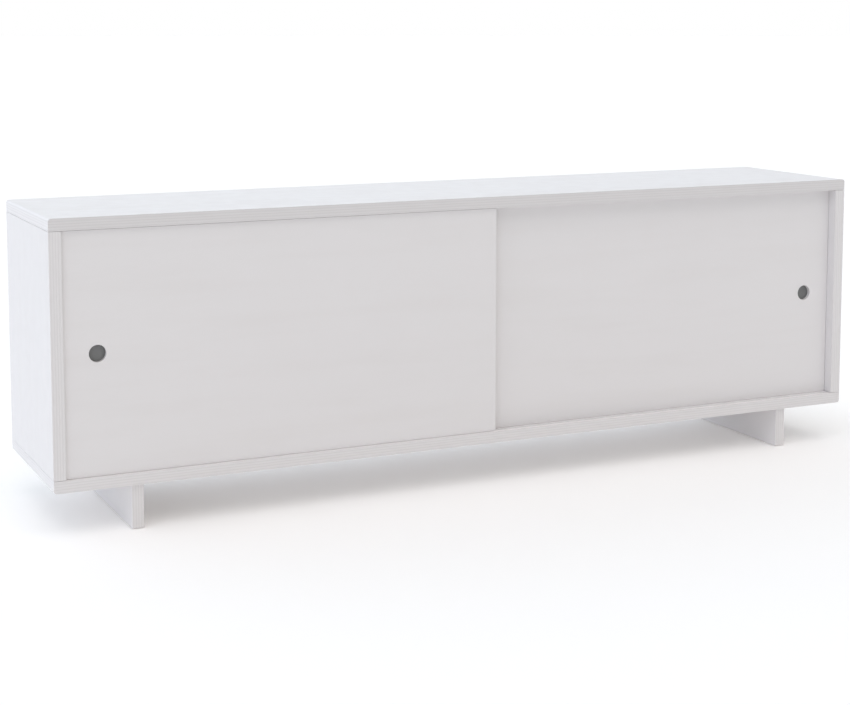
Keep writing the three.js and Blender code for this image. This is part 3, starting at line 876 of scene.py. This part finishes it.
def stand():
    """Every piece of the object."""
    for node in BOARDS:
        board(node)
    for side in SIDES:
        back_board(f"{side}_back_panel")
        back_screws(side)
        finger_cup(side)
        cable_grommet(side)
    for node in sorted(NODES):
        for start, make in TURNINGS.items():
            if node.startswith(start):
                make(node)
        if "_bumper_" in node:
            bumper(node)
        if node.endswith("_track") or "_glide_" in node or "_guide_" in node:
            moulding(node)


# ---------------------------------------------------------------- floor, light and camera

FLOOR_RADIUS = 90
FLOOR_SEGMENTS = 128
FLOOR = 0.97  # how much light the floor sends back
FLOOR_GLOW = 0.105  # and how much it gives of its own
FLOOR_GLOW_COLOUR = (1.0, 0.93, 0.88, 1.0)


def floor():
    """A plain pale floor that runs out to the horizon, lit a little from below."""
    s = Shader("pale_floor")
    haze = s.noise(s.place(), 3.0, 3)
    s.set(Base_Color=s.blend(haze, grey(FLOOR * 0.99), grey(FLOOR)))
    s.set(Roughness=0.85, Specular_IOR_Level=0.1)
    s.set(Emission_Color=FLOOR_GLOW_COLOUR, Emission_Strength=FLOOR_GLOW)
    mesh = bmesh.new()
    bmesh.ops.create_circle(mesh, cap_ends=True, radius=FLOOR_RADIUS, segments=FLOOR_SEGMENTS)
    data = bpy.data.meshes.new("floor")
    mesh.to_mesh(data)
    mesh.free()
    data.materials.append(s.material)
    made = bpy.data.objects.new("floor", data)
    bpy.context.scene.collection.objects.link(made)


EVEN_LIGHT = (0.11, 0.11, 0.11)  # from all round
# Each wall's direction, and the colour and strength of its light at its brightest.
WALL_LIGHTS = {
    "back": ((0, 1, 0), (1.12, 1.23, 1.31)),
    "front": ((0, -1, 0), (0.29, 0.29, 0.25)),
    "left": ((-1, 0, 0), (0.78, 0.86, 0.98)),
    "right": ((1, 0, 0), (0.16, 0.16, 0.16)),
}


def world():
    """Pale walls all round: brightest behind the object, and white where the camera sees them."""
    made = bpy.data.worlds.new("studio")
    bpy.context.scene.world = made
    made.use_nodes = True
    g = Graph(made.node_tree)
    g.tree.nodes.clear()
    seen = g.node("ShaderNodeTexCoord").outputs["Generated"]
    light = g.node("ShaderNodeCombineXYZ")
    for socket, value in zip(light.inputs, EVEN_LIGHT):
        g.put(socket, value)
    for direction, colour in WALL_LIGHTS.values():
        towards = g.node("ShaderNodeVectorMath", operation="DOT_PRODUCT")
        g.put(towards.inputs[0], seen)
        g.put(towards.inputs[1], Vector(direction).normalized())
        wall = g.node("ShaderNodeVectorMath", operation="SCALE")
        g.put(wall.inputs[0], colour)
        g.put(wall.inputs["Scale"], g.math("MAXIMUM", towards.outputs["Value"], 0.0))
        added = g.node("ShaderNodeVectorMath", operation="ADD")
        g.put(added.inputs[0], light.outputs[0])
        g.put(added.inputs[1], wall.outputs[0])
        light = added
    lighting, shown = g.node("ShaderNodeBackground"), g.node("ShaderNodeBackground")
    g.put(lighting.inputs["Color"], light.outputs[0])
    g.put(shown.inputs["Color"], grey(1.0))
    mix = g.node("ShaderNodeMixShader")
    g.put(mix.inputs[0], g.node("ShaderNodeLightPath").outputs["Is Camera Ray"])
    g.tree.links.new(lighting.outputs[0], mix.inputs[1])
    g.tree.links.new(shown.outputs[0], mix.inputs[2])
    g.tree.links.new(mix.outputs[0], g.node("ShaderNodeOutputWorld").inputs[0])


CEILING_LIGHT_TOWARDS = (0, 0.36, -0.93)
CEILING_LIGHT = 0.375
CEILING_LIGHT_SPREAD = math.radians(60)
CEILING_LIGHT_COLOUR = (1.0, 0.95, 0.935)


def ceiling_light():
    """Broad even light from above and a little in front; its spread is the angle it fills."""
    lamp = bpy.data.lights.new("ceiling_light", "SUN")
    lamp.energy = CEILING_LIGHT * math.pi
    lamp.angle = CEILING_LIGHT_SPREAD
    lamp.color = CEILING_LIGHT_COLOUR
    made = bpy.data.objects.new("ceiling_light", lamp)
    made.rotation_euler = Vector(CEILING_LIGHT_TOWARDS).to_track_quat("-Z", "Y").to_euler()
    bpy.context.scene.collection.objects.link(made)


CAMERA_PLACE = Vector((-1.6219, -3.3183, 0.9765))
CAMERA_YAW = math.radians(25.204)
CAMERA_PITCH = math.radians(6.053)
CAMERA_LENS = 72.66  # in millimetres
SENSOR_WIDTH = 36  # in millimetres too
CAMERA_SHIFT = -0.18  # in widths of the sensor


def camera():
    """The camera stands left of the middle, and looks to the right and slightly down."""
    data = bpy.data.cameras.new("camera")
    data.lens = CAMERA_LENS
    data.sensor_width = SENSOR_WIDTH
    data.shift_y = CAMERA_SHIFT
    made = bpy.data.objects.new("camera", data)
    made.location = CAMERA_PLACE
    made.rotation_euler = (math.pi / 2 - CAMERA_PITCH, 0, -CAMERA_YAW)
    bpy.context.scene.collection.objects.link(made)
    bpy.context.scene.camera = made


camera()
stand()
floor()
world()
ceiling_light()
bpy.context.scene.view_settings.view_transform = "Standard"
